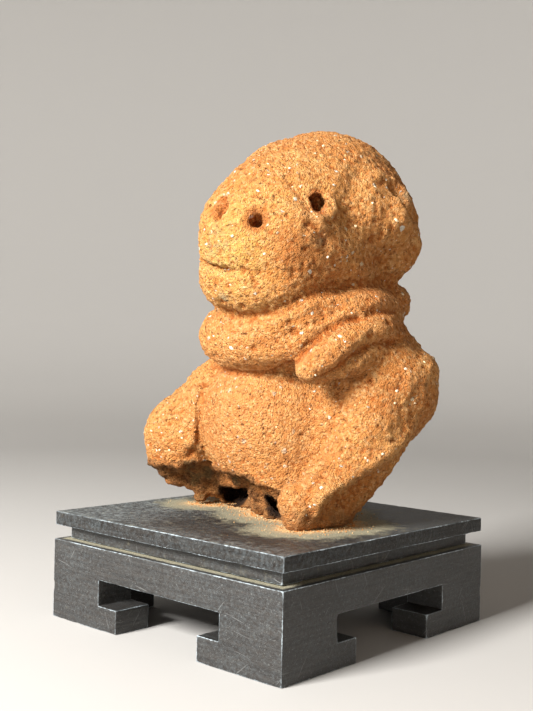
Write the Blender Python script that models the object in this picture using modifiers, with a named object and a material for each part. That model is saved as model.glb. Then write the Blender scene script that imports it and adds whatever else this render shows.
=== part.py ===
"""A terracotta half-figure with an animal's head, resting on a low black wooden stand.

Metres, +Z up. The origin is the middle of the stand's underside, the figure faces -Y.
"""
import math

import bmesh
import bpy
import numpy as np
from mathutils import Euler, Matrix, Vector
from mathutils.bvhtree import BVHTree

# The stand's driving sizes
STAND_SIDE = 0.150          # outer side of the square apron
APRON_HEIGHT = 0.038        # floor to the apron's top
BOARD_THICKNESS = 0.020     # each apron board
OPENING_HEIGHT = 0.0231     # floor to the top of each cut-out
FOOT_WIDTH = 0.035          # corner to the side of the cut-out
TOE_REACH = 0.013           # how far a toe runs on into the cut-out
TOE_HEIGHT = 0.0112
WAIST_HEIGHT = 0.0064
WAIST_INSET = 0.0059        # behind the apron's face
PLATE_THICKNESS = 0.0070
PLATE_INSET = 0.0005        # behind the apron's face
EDGE_ROUND = 0.0006         # worn edges of the boards

# The figure's driving sizes
FIGURE_HEIGHT = 0.1894      # plate to crown
EYE_WIDTH = 0.0062
EYE_HEIGHT = 0.0086
EYE_DEPTH = 0.011
NOSTRIL_WIDTH = 0.0070
NOSTRIL_DEPTH = 0.007
NOSTRIL_DENT = 0.003        # the right one is only a shallow dent
MOUTH_WIDTH = 0.0050        # the rounded tool that pressed the mouth's groove
MOUTH_DEPTH = 0.0018        # how deep it went at the middle
HOLE_FLOOR = 0.62           # a pressed hole's bottom and rim, as shares of its width
HOLE_RIM = 1.3

GAP = 0.0003                # clearance between pieces that touch

# The figure is built from rounded lumps of clay, in parts of its own height
PART = FIGURE_HEIGHT / 190
CLAY_GRID = 2.1             # grid that joins the lumps, in parts
CLAY_KEPT = 0.16            # share of the cut skin's faces kept
SLIVER = 0.00005            # edges shorter than this are closed up

HEAD_MIDDLE = Vector((12.5, 11.5, 140))
HEAD_FACING = 8             # degrees that the face is turned towards its left
HEAD_TILT = 9               # degrees that the head leans towards its left
EYE_LEVEL = 152             # heights on the head, in parts above the plate
NOSTRIL_LEVEL = 140.7
MOUTH_LEVEL = 120.5
MOUTH_DROP = 5              # how much lower its far end lies
EYE_TURN = 35               # degrees from the face's middle to each eye
MOUTH_START = -38           # degrees from the face's middle to the mouth's first end
MOUTH_SWEEP = 56            # degrees from end to end
NOSTRIL_REACH = 9.6         # from the muzzle's middle to each nostril, in parts
MUZZLE_SHIFT = -1.5         # the muzzle's middle, beside the head's

PLATE_TOP = APRON_HEIGHT + WAIST_HEIGHT + PLATE_THICKNESS
PARTS_TO_METRES = Matrix.Translation((0, 0, PLATE_TOP)) @ Matrix.Scale(PART, 4)
HEAD_TURN = (Matrix.Translation(HEAD_MIDDLE)
             @ Matrix.Rotation(math.radians(HEAD_FACING), 4, "Z")
             @ Matrix.Rotation(math.radians(HEAD_TILT), 4, "Y")
             @ Matrix.Translation(-HEAD_MIDDLE))


def clear_scene():
    for item in list(bpy.data.objects):
        bpy.data.objects.remove(item)


def new_collection(name):
    group = bpy.data.collections.new(name)
    bpy.context.scene.collection.children.link(group)
    return group


def material(name, colour, roughness):
    mat = bpy.data.materials.new(name)
    mat.use_nodes = True
    shader = mat.node_tree.nodes["Principled BSDF"]
    shader.inputs["Base Color"].default_value = (*colour, 1)
    shader.inputs["Roughness"].default_value = roughness
    shader.inputs["Metallic"].default_value = 0
    mat.diffuse_color = (*colour, 1)
    return mat


def add_object(name, mesh, group, mat=None):
    item = bpy.data.objects.new(name, mesh)
    group.objects.link(item)
    if mat:
        mesh.materials.append(mat)
    return item


def mesh_from(name, bm):
    mesh = bpy.data.meshes.new(name)
    bm.to_mesh(mesh)
    bm.free()
    return mesh


def round_edges(item, width):
    bevel = item.modifiers.new("worn edges", "BEVEL")
    bevel.width = width
    bevel.segments = 2
    bevel.limit_method = "ANGLE"


# The stand

def slab(name, half, low, high, group, mat):
    """A square board centred on the axis, from one height to another."""
    bm = bmesh.new()
    size = Matrix.Diagonal((2 * half, 2 * half, high - low, 1))
    place = Matrix.Translation((0, 0, (low + high) / 2))
    bmesh.ops.create_cube(bm, size=1, matrix=place @ size)
    item = add_object(name, mesh_from(name, bm), group, mat)
    round_edges(item, EDGE_ROUND)
    return item


def apron_outline():
    """One board seen from the front: a bar with two hooked feet, right half mirrored."""
    corner = STAND_SIDE / 2
    side = corner - FOOT_WIDTH
    toe = side - TOE_REACH
    right = [(side, OPENING_HEIGHT), (side, TOE_HEIGHT), (toe, TOE_HEIGHT), (toe, 0),
             (corner, 0), (corner, APRON_HEIGHT)]
    left = [(-x, z) for x, z in reversed(right)]
    return right + left


def flat_shape(name, outline, thickness):
    """A closed outline in X and Z, filled and extruded to a thickness along Y."""
    curve = bpy.data.curves.new(name, "CURVE")
    curve.dimensions = "2D"
    curve.fill_mode = "BOTH"
    curve.extrude = thickness / 2
    line = curve.splines.new("POLY")
    line.points.add(len(outline) - 1)
    for point, (x, z) in zip(line.points, outline):
        point.co = (x, z, 0, 1)
    line.use_cyclic_u = True
    drawn = bpy.data.objects.new(name, curve)
    bpy.context.scene.collection.objects.link(drawn)
    mesh = bpy.data.meshes.new_from_object(drawn.evaluated_get(bpy.context.evaluated_depsgraph_get()))
    bpy.data.objects.remove(drawn)
    bpy.data.curves.remove(curve)
    bm = bmesh.new()
    bm.from_mesh(mesh)
    bpy.data.meshes.remove(mesh)
    bmesh.ops.remove_doubles(bm, verts=bm.verts, dist=0.00002)
    bmesh.ops.rotate(bm, verts=bm.verts, matrix=Matrix.Rotation(math.radians(90), 3, "X"))
    return bm


def apron_board(name, turn, group, mat):
    """A board of the apron, its ends mitred, turned about the stand's axis."""
    bm = flat_shape(name, apron_outline(), BOARD_THICKNESS)
    corner = STAND_SIDE / 2
    seam = GAP / math.sqrt(2)
    for vert in bm.verts:
        inner = vert.co.y > 0
        if abs(vert.co.x) > corner - GAP:
            back = seam + (BOARD_THICKNESS if inner else 0)
            vert.co.x -= math.copysign(back, vert.co.x)
        vert.co.y += BOARD_THICKNESS / 2 - corner
    bmesh.ops.rotate(bm, verts=bm.verts, matrix=Matrix.Rotation(math.radians(turn), 3, "Z"))
    bmesh.ops.recalc_face_normals(bm, faces=bm.faces)
    item = add_object(name, mesh_from(name, bm), group, mat)
    return item


def build_stand(group):
    wood = material("black stained wood", (0.035, 0.032, 0.030), 0.55)
    half = STAND_SIDE / 2
    waist_top = APRON_HEIGHT + WAIST_HEIGHT
    slab("stand_top", half - PLATE_INSET, waist_top + GAP, PLATE_TOP, group, wood)
    slab("stand_waist", half - WAIST_INSET, APRON_HEIGHT + GAP, waist_top, group, wood)
    for turn, side in enumerate(("front", "right", "back", "left")):
        apron_board("stand_apron_" + side, 90 * turn, group, wood)


# The figure

def lump(centre, radii, turn=(0, 0, 0)):
    """The place of a rounded lump of clay: centre and radii in parts, its turn in degrees."""
    turned = Euler([math.radians(angle) for angle in turn]).to_matrix().to_4x4()
    return Matrix.Translation(centre) @ turned @ Matrix.Diagonal((*radii, 1))


def pair(centre, radii, turn=(0, 0, 0), about=0):
    """The same lump on both sides of the head, or of a line beside the head's middle."""
    x, y, z = centre
    other = (2 * (HEAD_MIDDLE.x + about) - x, y, z)
    return [lump(centre, radii, turn), lump(other, radii, (turn[0], -turn[1], -turn[2]))]


def roll(stations, count):
    """A tapering roll of clay: lumps spaced evenly along straight runs between stations."""
    runs = len(stations) - 1
    places = []
    for step in range(count + 1):
        along = step / count * runs
        run = min(int(along), runs - 1)
        start, end = Vector(stations[run]), Vector(stations[run + 1])
        x, y, z, radius = start.lerp(end, along - run)
        places.append(lump((x, y, z), (radius, radius, radius)))
    return places


def head():
    """A broad skull with a heavy muzzle, full cheeks and round ears, turned and tilted."""
    middle = HEAD_MIDDLE.x
    places = [lump((16.5, 14.5, 146), (42, 45, 44)),
              lump((middle + 1, 0, 150), (38, 37, 34)),
              lump((middle, -11, 147), (35, 34, 28)),
              lump((middle, -19, 136), (28, 33, 26)),
              lump((middle, -19, 124), (35, 33, 17)),
              lump((middle, -19, 111), (34, 31, 18))]
    places += pair((middle + 14, -15, 137), (23, 33, 26))
    places += pair((middle + 22, 4, 126), (21, 24, 22))
    places += pair((middle + 38, 19, 148), (13, 17, 19), (0, 8, 0), 4)
    places += pair((middle + 40, 23, 136), (12, 14, 13), (0, 0, 0), 4)
    return [HEAD_TURN @ place for place in places]


def wrap():
    """A thick rolled wrap round the neck, lower at the front, over a plain neck."""
    middle = Vector((12, 11))
    ring = 37
    rolls = 22
    places = [lump((14, 17, 88), (40, 40, 24))]
    for step in range(rolls):
        angle = 2 * math.pi * step / rolls
        x = middle.x + ring * math.cos(angle)
        y = middle.y + ring * math.sin(angle)
        height = 94 + 0.30 * y + 0.06 * (x - middle.x)
        front = 0.5 - 0.5 * math.sin(angle)
        places.append(lump((x, y, height), (15, 15, 9 + 5 * front)))
    return places


def flap():
    """The wrap's loose end, folded up over the near shoulder."""
    return roll([(44, -24, 73, 7.5), (52, -14, 80, 10), (56, 1, 87, 10), (55, 13, 89, 7)], 14)


def arms():
    """Thick arms held out from the body: the right one broken off, the left reaching the base."""
    right = roll([(-22, 2, 72, 14), (-36, -6, 57, 17), (-50, -12, 36, 21.5), (-49, -12, 20, 18)], 9)
    left = roll([(46, 22, 74, 24), (50, 25, 62, 25), (49, 14, 44, 18.5), (42, 8, 24, 15),
                 (37, 0, 12, 14), (34, -10, 0, 14)], 15)
    forearm = roll([(50, 18, 56, 22), (53, 7, 41, 16), (50, -6, 30, 10), (45, -16, 18, 8),
                    (40, -24, 10, 6.5), (38, -26, 2, 6)], 20)
    return right + left + forearm


def body():
    """A full belly that narrows to a solid foot at the back and near side."""
    return [lump((1, 5, 46), (38, 38, 42)), lump((4, 6, 20), (33, 33, 26)),
            lump((18, -6, 4), (20, 20, 16)), lump((-2, 18, 4), (24, 22, 20)),
            lump((-27, 14, 14), (27, 17, 20)), lump((20, 20, 52), (36, 34, 34)),
            lump((0, 22, 48), (44, 33, 40))]


def lumps_mesh(name, places):
    """One mesh of all the lumps: a unit ball carried to each place."""
    bm = bmesh.new()
    bmesh.ops.create_uvsphere(bm, u_segments=28, v_segments=16, radius=1)
    ball = np.array([(*vert.co, 1) for vert in bm.verts])
    faces = [[vert.index for vert in face.verts] for face in bm.faces]
    bm.free()
    points = [ball @ np.array(PARTS_TO_METRES @ place).T for place in places]
    skins = [[corner + step * len(ball) for corner in face]
             for step in range(len(places)) for face in faces]
    mesh = bpy.data.meshes.new(name)
    mesh.from_pydata(np.concatenate(points)[:, :3].tolist(), [], skins)
    return mesh


def join_lumps(item, grid):
    """Joins overlapping lumps into one closed skin on a fine grid."""
    skin = item.modifiers.new("joined", "REMESH")
    skin.mode = "VOXEL"
    skin.voxel_size = grid * PART


def clay(group, mat):
    """All the lumps joined into one skin, then smoothed."""
    mesh = lumps_mesh("figure", head() + wrap() + flap() + arms() + body())
    item = add_object("figure", mesh, group, mat)
    join_lumps(item, CLAY_GRID)
    smooth = item.modifiers.new("smoothed", "SMOOTH")
    smooth.factor = 0.5
    smooth.iterations = 8
    return item


def surface(item):
    """The clay as it stands, for placing holes on its surface."""
    return BVHTree.FromObject(item, bpy.context.evaluated_depsgraph_get())


def on_head(tree, across, height, turn):
    """The point of the head hit by a level line aimed at its axis, and that line's direction."""
    turn = math.radians(turn)
    aim = Vector((-math.sin(turn), math.cos(turn), 0))
    axis = Vector((HEAD_MIDDLE.x + across, HEAD_MIDDLE.y, height))
    place = PARTS_TO_METRES @ HEAD_TURN
    start = place @ (axis - 100 * aim)
    way = (place @ axis - start).normalized()
    return tree.ray_cast(start, way)[0], way


def poke(bm, spot, way, width, height, depth):
    """A blind hole, wider at its mouth, as if pressed with a stick."""
    side = way.cross(Vector((0, 0, 1))).normalized()
    up = side.cross(way)
    frame = Matrix((side, up, -way)).transposed().to_4x4()
    size = Matrix.Diagonal((width / 2, height / 2, depth, 1))
    place = Matrix.Translation(spot) @ frame @ size
    bmesh.ops.create_cone(bm, cap_ends=True, segments=14, radius1=HOLE_FLOOR,
                          radius2=HOLE_RIM, depth=2, matrix=place)


def cutter(name, mesh, group):
    item = add_object(name, mesh, group)
    item.hide_render = True
    item.display_type = "WIRE"
    return item


def cut(item, tool):
    step = item.modifiers.new(tool.name, "BOOLEAN")
    step.operation = "DIFFERENCE"
    step.solver = "EXACT"
    step.object = tool


def floor_cutter(group):
    """Everything below the plate's top, so that the foot stands flat on it."""
    bm = bmesh.new()
    wide, deep = 2 * FIGURE_HEIGHT, FIGURE_HEIGHT
    size = Matrix.Diagonal((wide, wide, deep, 1))
    place = Matrix.Translation((0, 0, PLATE_TOP + GAP - deep / 2))
    bmesh.ops.create_cube(bm, size=1, matrix=place @ size)
    return cutter("flat foot", mesh_from("flat foot", bm), group)


def break_cutter(group):
    """The lost lower front: an arch broken out from under the belly and the right arm."""
    places = roll([(33, -30, 0, 9), (24, -29, 0, 18), (13, -34, 0, 21), (-8, -27, 0, 23),
                   (-28, -22, 0, 24), (-41, -27, 0, 23), (-57, -31, 0, 23)], 12)
    places += [lump((-18, -9, 5), (9, 13, 9)), lump((-62, -8, 0), (25, 32, 9))]
    item = cutter("broken foot", lumps_mesh("broken foot", places), group)
    join_lumps(item, CLAY_GRID)
    return item


def holes_cutter(group, tree):
    """Eyes and nostrils pressed into the head."""
    bm = bmesh.new()
    for side, nostril in ((-1, NOSTRIL_DENT), (1, NOSTRIL_DEPTH)):
        spot, way = on_head(tree, 0, EYE_LEVEL, EYE_TURN * side)
        poke(bm, spot, way, EYE_WIDTH, EYE_HEIGHT, EYE_DEPTH)
        spot, way = on_head(tree, NOSTRIL_REACH * side + MUZZLE_SHIFT, NOSTRIL_LEVEL, 0)
        poke(bm, spot, way, NOSTRIL_WIDTH, NOSTRIL_WIDTH, nostril)
    return cutter("eyes and nostrils", mesh_from("eyes and nostrils", bm), group)


def mouth_cutter(group, tree):
    """A groove across the muzzle, off its middle, deepest halfway and fading at its corners."""
    line = bpy.data.curves.new("mouth", "CURVE")
    line.dimensions = "3D"
    line.bevel_depth = MOUTH_WIDTH / 2
    line.bevel_resolution = 2
    line.use_fill_caps = True
    steps = 12
    path = line.splines.new("POLY")
    path.points.add(steps)
    for step, point in enumerate(path.points):
        share = step / steps
        level = MOUTH_LEVEL - MOUTH_DROP * share
        spot, way = on_head(tree, 0, level, MOUTH_START + MOUTH_SWEEP * share)
        fade = 1 - (2 * share - 1) ** 2
        point.co = (*(spot - way * (MOUTH_WIDTH / 2 - MOUTH_DEPTH * fade)), 1)
    drawn = bpy.data.objects.new("mouth line", line)
    group.objects.link(drawn)
    bpy.context.view_layer.update()
    mesh = bpy.data.meshes.new_from_object(drawn.evaluated_get(bpy.context.evaluated_depsgraph_get()))
    bpy.data.objects.remove(drawn)
    bm = bmesh.new()
    bm.from_mesh(mesh)
    bpy.data.meshes.remove(mesh)
    bmesh.ops.remove_doubles(bm, verts=bm.verts, dist=0.00002)
    bmesh.ops.recalc_face_normals(bm, faces=bm.faces)
    return cutter("mouth", mesh_from("mouth", bm), group)


def build_figure(group, cutters):
    terracotta = material("terracotta", (0.62, 0.30, 0.10), 0.95)
    item = clay(group, terracotta)
    tree = surface(item)
    cut(item, break_cutter(cutters))
    cut(item, holes_cutter(cutters, tree))
    cut(item, mouth_cutter(cutters, tree))
    thin = item.modifiers.new("thinned", "DECIMATE")
    thin.ratio = CLAY_KEPT
    cut(item, floor_cutter(cutters))
    weld = item.modifiers.new("slivers closed", "WELD")
    weld.merge_threshold = SLIVER
    return item


def main():
    clear_scene()
    parts = new_collection("terracotta_figure_on_stand")
    cutters = new_collection("cutters")
    build_stand(parts)
    build_figure(parts, cutters)


main()
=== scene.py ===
# The looks of a terracotta half-figure with an animal's head, resting on its black wooden stand.
# Metres, +Z up. The figure faces -Y and leans its head towards +X, and the stand is square to the axes.
import math

import bmesh
import bpy
import numpy as np
from mathutils import Matrix, Vector
from mathutils.bvhtree import BVHTree


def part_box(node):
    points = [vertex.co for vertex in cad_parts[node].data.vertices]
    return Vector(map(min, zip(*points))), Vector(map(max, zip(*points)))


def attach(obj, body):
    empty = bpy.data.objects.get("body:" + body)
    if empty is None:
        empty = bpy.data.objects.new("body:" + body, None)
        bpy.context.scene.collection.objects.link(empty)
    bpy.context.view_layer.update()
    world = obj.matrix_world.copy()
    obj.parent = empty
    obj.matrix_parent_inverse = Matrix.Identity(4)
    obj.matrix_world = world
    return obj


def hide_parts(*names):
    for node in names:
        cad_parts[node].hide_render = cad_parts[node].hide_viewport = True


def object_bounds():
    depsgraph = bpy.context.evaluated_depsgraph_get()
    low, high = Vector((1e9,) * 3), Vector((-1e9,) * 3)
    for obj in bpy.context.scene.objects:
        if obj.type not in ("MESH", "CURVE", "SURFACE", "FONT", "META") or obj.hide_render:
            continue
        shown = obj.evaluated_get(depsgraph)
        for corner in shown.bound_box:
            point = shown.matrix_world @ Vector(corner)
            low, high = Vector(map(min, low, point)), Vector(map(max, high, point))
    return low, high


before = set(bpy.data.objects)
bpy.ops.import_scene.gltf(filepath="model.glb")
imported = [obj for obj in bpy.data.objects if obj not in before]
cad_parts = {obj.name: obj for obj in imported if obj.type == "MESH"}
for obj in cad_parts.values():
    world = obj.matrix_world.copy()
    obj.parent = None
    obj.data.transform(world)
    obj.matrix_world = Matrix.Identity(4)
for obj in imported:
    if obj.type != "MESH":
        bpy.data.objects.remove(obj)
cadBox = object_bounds()
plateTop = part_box("stand_top")[1].z
mm = 0.001
print("frame loaded")

# Camera

camera = {
    "place": (0.33047, -0.36704, 0.12902),
    "turn": 42.46,            # degrees about +Z, from looking along +Y
    "rise": 0.09,             # degrees above level
    "roll": 1.34,
    "focalPixels": 998.27,
    "imagePixels": (533, 711),
    "sensor": 36.0,           # mm, along the image's longer side
}


def viewAxes():
    # Forward from turn and rise; right and up lie square to it and are then rolled about it
    turn, rise, roll = (math.radians(camera[key]) for key in ("turn", "rise", "roll"))
    forward = Vector((-math.sin(turn) * math.cos(rise), math.cos(turn) * math.cos(rise), math.sin(rise)))
    level = Vector((math.cos(turn), math.sin(turn), 0))
    upright = level.cross(forward)
    right = level * math.cos(roll) + upright * math.sin(roll)
    up = upright * math.cos(roll) - level * math.sin(roll)
    return right, up, forward


def pixelRay(pixel):
    # The line from the camera through a pixel: forward plus the pixel's offsets over the focal length
    right, up, forward = viewAxes()
    wide, high = camera["imagePixels"]
    across = (pixel[0] - wide / 2) / camera["focalPixels"]
    down = (pixel[1] - high / 2) / camera["focalPixels"]
    return Vector(camera["place"]), (forward + right * across - up * down).normalized()


def makeCamera():
    right, up, forward = viewAxes()
    lens = bpy.data.cameras.new("photo view")
    lens.sensor_fit = "AUTO"
    lens.sensor_width = camera["sensor"]
    lens.lens = camera["focalPixels"] / max(camera["imagePixels"]) * camera["sensor"]
    lens.clip_start, lens.clip_end = 0.01, 20
    view = bpy.data.objects.new("photo view", lens)
    turned = Matrix((right, up, -forward)).transposed().to_4x4()
    view.matrix_world = Matrix.Translation(camera["place"]) @ turned
    bpy.context.scene.collection.objects.link(view)
    bpy.context.scene.camera = view


makeCamera()
print("camera placed")

# Meshes worked on as whole arrays


def hashed(cells, seed):
    # A repeatable number from 0 to 1 for every whole-number cell
    cells = cells.astype(np.uint64)
    mixed = cells[..., 0] * np.uint64(73856093) ^ cells[..., 1] * np.uint64(19349663)
    mixed ^= cells[..., 2] * np.uint64(83492791) ^ np.uint64(seed * 2654435761 + 97)
    mixed = (mixed ^ (mixed >> np.uint64(15))) * np.uint64(2246822519)
    mixed = (mixed ^ (mixed >> np.uint64(13))) * np.uint64(3266489917)
    return ((mixed ^ (mixed >> np.uint64(16))) & np.uint64(0xFFFFFF)).astype(float) / 0xFFFFFF


def clouds(points, size, seed):
    # Soft noise from -1 to 1: random values at the corners of cells of that size, blended smoothly
    scaled = points / size
    home = np.floor(scaled).astype(np.int64)
    share = scaled - home
    share = share * share * (3 - 2 * share)
    total = np.zeros(len(points))
    for corner in np.ndindex(2, 2, 2):
        weight = np.prod(np.where(np.array(corner) == 1, share, 1 - share), axis=1)
        total += weight * hashed(home + np.array(corner), seed)
    return 2 * total - 1


def pebbles(points, size, seed):
    # Distance to the nearest of the scattered middles, one in each cell, and that middle's own number
    scaled = points / size
    home = np.floor(scaled).astype(np.int64)
    near = np.full(len(points), 9.0)
    tag = np.zeros(len(points))
    for step in np.ndindex(3, 3, 3):
        cell = home + np.array(step) - 1
        middle = cell + np.stack([hashed(cell, seed + axis) for axis in range(3)], axis=1)
        gap = np.linalg.norm(scaled - middle, axis=1)
        closer = gap < near
        tag = np.where(closer, hashed(cell, seed + 3), tag)
        near = np.where(closer, gap, near)
    return near, tag


def eased(value, low, high):
    # Goes smoothly from 0 at low to 1 at high
    share = np.clip((value - low) / (high - low), 0, 1)
    return share * share * (3 - 2 * share)


def meshArrays(mesh):
    # A mesh's corner points and its edges
    points = np.zeros(len(mesh.vertices) * 3)
    mesh.vertices.foreach_get("co", points)
    edges = np.zeros(len(mesh.edges) * 2, np.int64)
    mesh.edges.foreach_get("vertices", edges)
    return points.reshape(-1, 3), edges.reshape(-1, 2)


def rayTree(mesh, points):
    # A tree for casting lines on a mesh of quads whose corners stand at the points
    corners = np.zeros(len(mesh.loops), np.int32)
    mesh.loops.foreach_get("vertex_index", corners)
    return BVHTree.FromPolygons(points.tolist(), corners.reshape(-1, 4).tolist())


def insideBox(points):
    # Nothing may stand out of the solids' own box
    return np.clip(points, np.array(cadBox[0]), np.array(cadBox[1]))


def neighbourMean(values, edges):
    # The mean of each point's neighbours' values
    count = np.maximum(np.bincount(edges.ravel(), minlength=len(values)), 1)
    columns = values.reshape(len(values), -1)
    total = [np.bincount(edges[:, 0], column[edges[:, 1]], len(values))
             + np.bincount(edges[:, 1], column[edges[:, 0]], len(values)) for column in columns.T]
    return (np.stack(total, axis=1) / count[:, None]).reshape(values.shape)


def relaxed(values, edges, rounds):
    # Each round moves every value half of the way to its neighbours' mean
    for _ in range(rounds):
        values = values + 0.5 * (neighbourMean(values, edges) - values)
    return values


def cornerNormals(mesh):
    normals = np.zeros(len(mesh.vertices) * 3)
    mesh.vertices.foreach_get("normal", normals)
    return normals.reshape(-1, 3)


def putPoints(mesh, points):
    mesh.vertices.foreach_set("co", points.astype(np.float32).ravel())
    mesh.update()


def putAttribute(mesh, name, values):
    attribute = mesh.attributes.new(name, "FLOAT", "POINT")
    attribute.data.foreach_set("value", values.astype(np.float32))


def settle(piece, nodes):
    # A finished piece rides on the one body and stands for its solids
    bpy.context.scene.collection.objects.link(piece)
    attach(piece, "root")
    if nodes:
        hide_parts(*nodes)
    return piece


# Shader helpers


def put(tree, kind, values=(), **settings):
    # Adds a node; a value that is a socket is linked, and any other is set
    node = tree.nodes.new("ShaderNode" + kind)
    for name, value in settings.items():
        setattr(node, name, value)
    for label, value in dict(values).items():
        socket = node.inputs[label]
        if isinstance(value, bpy.types.NodeSocket):
            tree.links.new(value, socket)
        else:
            socket.default_value = value
    return node


def maths(tree, operation, first, second=0, third=0):
    return put(tree, "Math", {0: first, 1: second, 2: third}, operation=operation).outputs[0]


def times(tree, first, second):
    return maths(tree, "MULTIPLY", first, second)


def blendColour(tree, mask, first, second):
    # From the first colour to the second as the mask goes from 0 to 1
    first, second = ((*side, 1) if isinstance(side, tuple) else side for side in (first, second))
    return put(tree, "Mix", {0: mask, 6: first, 7: second}, data_type="RGBA").outputs[2]


def coated(tree, colour, coats):
    # Lays each coat's colour over what is there by the coat's mask
    for mask, coat in coats:
        colour = blendColour(tree, mask, colour, coat)
    return colour


def remap(tree, value, low, high, start=0, end=1):
    node = put(tree, "MapRange", {"Value": value, "From Min": low, "From Max": high, "To Min": start,
                                  "To Max": end}, interpolation_type="SMOOTHSTEP")
    return node.outputs["Result"]


def noise(tree, where, scale, detail, rough):
    node = put(tree, "TexNoise", {"Vector": where, "Scale": scale, "Detail": detail, "Roughness": rough})
    return node.outputs["Fac"]


def newGroup(name, inputs, outputs):
    # A shader group and its sockets inside: numbers with their values, or vectors where the value is None
    group = bpy.data.node_groups.new(name, "ShaderNodeTree")
    for way, sockets in (("INPUT", inputs), ("OUTPUT", outputs)):
        for label, value in sockets.items():
            kind = "NodeSocketVector" if value is None else "NodeSocketFloat"
            socket = group.interface.new_socket(name=label, in_out=way, socket_type=kind)
            if value is not None:
                socket.default_value = value
    enter = group.nodes.new("NodeGroupInput")
    leave = group.nodes.new("NodeGroupOutput")
    return group, enter.outputs, leave.inputs


def useGroup(tree, group, values):
    return put(tree, "Group", values, node_tree=group).outputs


def newMaterial(name, rough=0.5, gloss=0.5):
    # A material with its node tree, its shader's inputs and the place on the piece
    mat = bpy.data.materials.new(name)
    mat.use_nodes = True
    inputs = mat.node_tree.nodes["Principled BSDF"].inputs
    inputs["Roughness"].default_value = rough
    inputs["Specular IOR Level"].default_value = gloss
    where = put(mat.node_tree, "TexCoord").outputs["Object"]
    return mat, mat.node_tree, inputs, where


def attributeValue(tree, name):
    return put(tree, "Attribute", attribute_name=name).outputs["Fac"]


def nudged(tree, where, scale, reach):
    # The place moved about by a soft noise, so that cells and lines don't run straight
    bend = put(tree, "TexNoise", {"Vector": where, "Scale": scale, "Detail": 1}).outputs["Color"]
    moved = put(tree, "VectorMath", {0: bend, 3: reach}, operation="SCALE").outputs[0]
    return put(tree, "VectorMath", {0: where, 1: moved}, operation="ADD").outputs[0]


def mottledMaterial(name, rough, patches, first, second):
    # Two colours in soft patches, so many to the metre
    mat, tree, inputs, where = newMaterial(name, rough)
    tint = remap(tree, noise(tree, where, patches, 1, 0.5), 0.4, 0.6)
    tree.links.new(blendColour(tree, tint, first, second), inputs["Base Color"])
    return mat


def makeFleckGroup():
    # Pale mineral chips: the cores of scattered cells, kept in a share of the cells
    group, enter, leave = newGroup("mineralFlecks", {
        "Vector": None, "Cells per metre": 250, "Kept share": 0.3, "Core size": 0.3},
        {"Mask": 0, "Tint": 0})
    where = nudged(group, enter["Vector"], 700, 0.0016)
    cells = put(group, "TexVoronoi", {"Vector": where, "Scale": enter["Cells per metre"]},
                distance="MINKOWSKI")
    cells.inputs["Exponent"].default_value = 1.3
    parts = put(group, "SeparateColor", {0: cells.outputs["Color"]}).outputs
    kept = maths(group, "LESS_THAN", parts[0], enter["Kept share"])
    reach = times(group, enter["Core size"], maths(group, "ADD", parts[1], 0.45))
    core = remap(group, cells.outputs["Distance"], reach, times(group, reach, 0.75))
    group.links.new(times(group, kept, core), leave["Mask"])
    group.links.new(parts[2], leave["Tint"])
    return group


def makeGritGroup():
    # Coarse sandy clay: rounded grains of two sizes, soft unevenness and scattered small pits
    group, enter, leave = newGroup("sandyGrit", {"Vector": None, "Grains per metre": 700, "Pits": 0.5},
        {"Height": 0, "Grain": 0, "Pit": 0})
    where = enter["Vector"]
    coarse = put(group, "TexVoronoi", {"Vector": where, "Scale": enter["Grains per metre"]})
    finer = times(group, enter["Grains per metre"], 2.3)
    fine = put(group, "TexVoronoi", {"Vector": where, "Scale": finer})
    grains = maths(group, "MULTIPLY_ADD", fine.outputs["Distance"], -0.35, 0.3)
    grains = maths(group, "MULTIPLY_ADD", coarse.outputs["Distance"], -0.7, grains)
    soft = noise(group, where, 420, 5, 0.75)
    hollow = noise(group, where, 420, 2, 0.5)
    pit = times(group, remap(group, hollow, 0.36, 0.25), enter["Pits"])
    height = maths(group, "MULTIPLY_ADD", soft, 1.7, grains)
    group.links.new(maths(group, "SUBTRACT", height, pit), leave["Height"])
    group.links.new(put(group, "SeparateColor", {0: coarse.outputs["Color"]}).outputs[0], leave["Grain"])
    group.links.new(pit, leave["Pit"])
    return group


def makeDustGroup():
    # Settled dust: patchy where the piece's own dust value is low, closed where it is high
    group, enter, leave = newGroup("settledDust", {"Vector": None, "Dust": 0, "Patch per metre": 180},
        {"Mask": 0, "Speck": 0})
    patch = noise(group, enter["Vector"], enter["Patch per metre"], 6, 0.72)
    both = maths(group, "MULTIPLY_ADD", enter["Dust"], 1.15, maths(group, "SUBTRACT", patch, 0.62))
    group.links.new(remap(group, both, 0, 0.42), leave["Mask"])
    speck = noise(group, enter["Vector"], 1500, 2, 0.6)
    group.links.new(remap(group, speck, 0.52, 0.72), leave["Speck"])
    return group


def makeFlatGroup():
    # A place laid flat on a board's face: along and up it on the sides, along and across it on top
    group, enter, leave = newGroup("boardFace", {"Vector": None, "Normal": None}, {"Vector": None})
    place = put(group, "SeparateXYZ", {0: enter["Vector"]}).outputs
    facing = put(group, "SeparateXYZ", {0: enter["Normal"]}).outputs
    flat = maths(group, "GREATER_THAN", maths(group, "ABSOLUTE", facing[2]), 0.7)
    endOn = maths(group, "GREATER_THAN", maths(group, "ABSOLUTE", facing[0]), 0.7)
    along = put(group, "Mix", {0: endOn, 2: place[0], 3: place[1]}).outputs[0]
    across = put(group, "Mix", {0: flat, 2: place[2], 3: place[1]}).outputs[0]
    third = maths(group, "MULTIPLY_ADD", endOn, 3, flat)
    group.links.new(put(group, "CombineXYZ", {0: along, 1: across, 2: third}).outputs[0], leave["Vector"])
    return group


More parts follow.
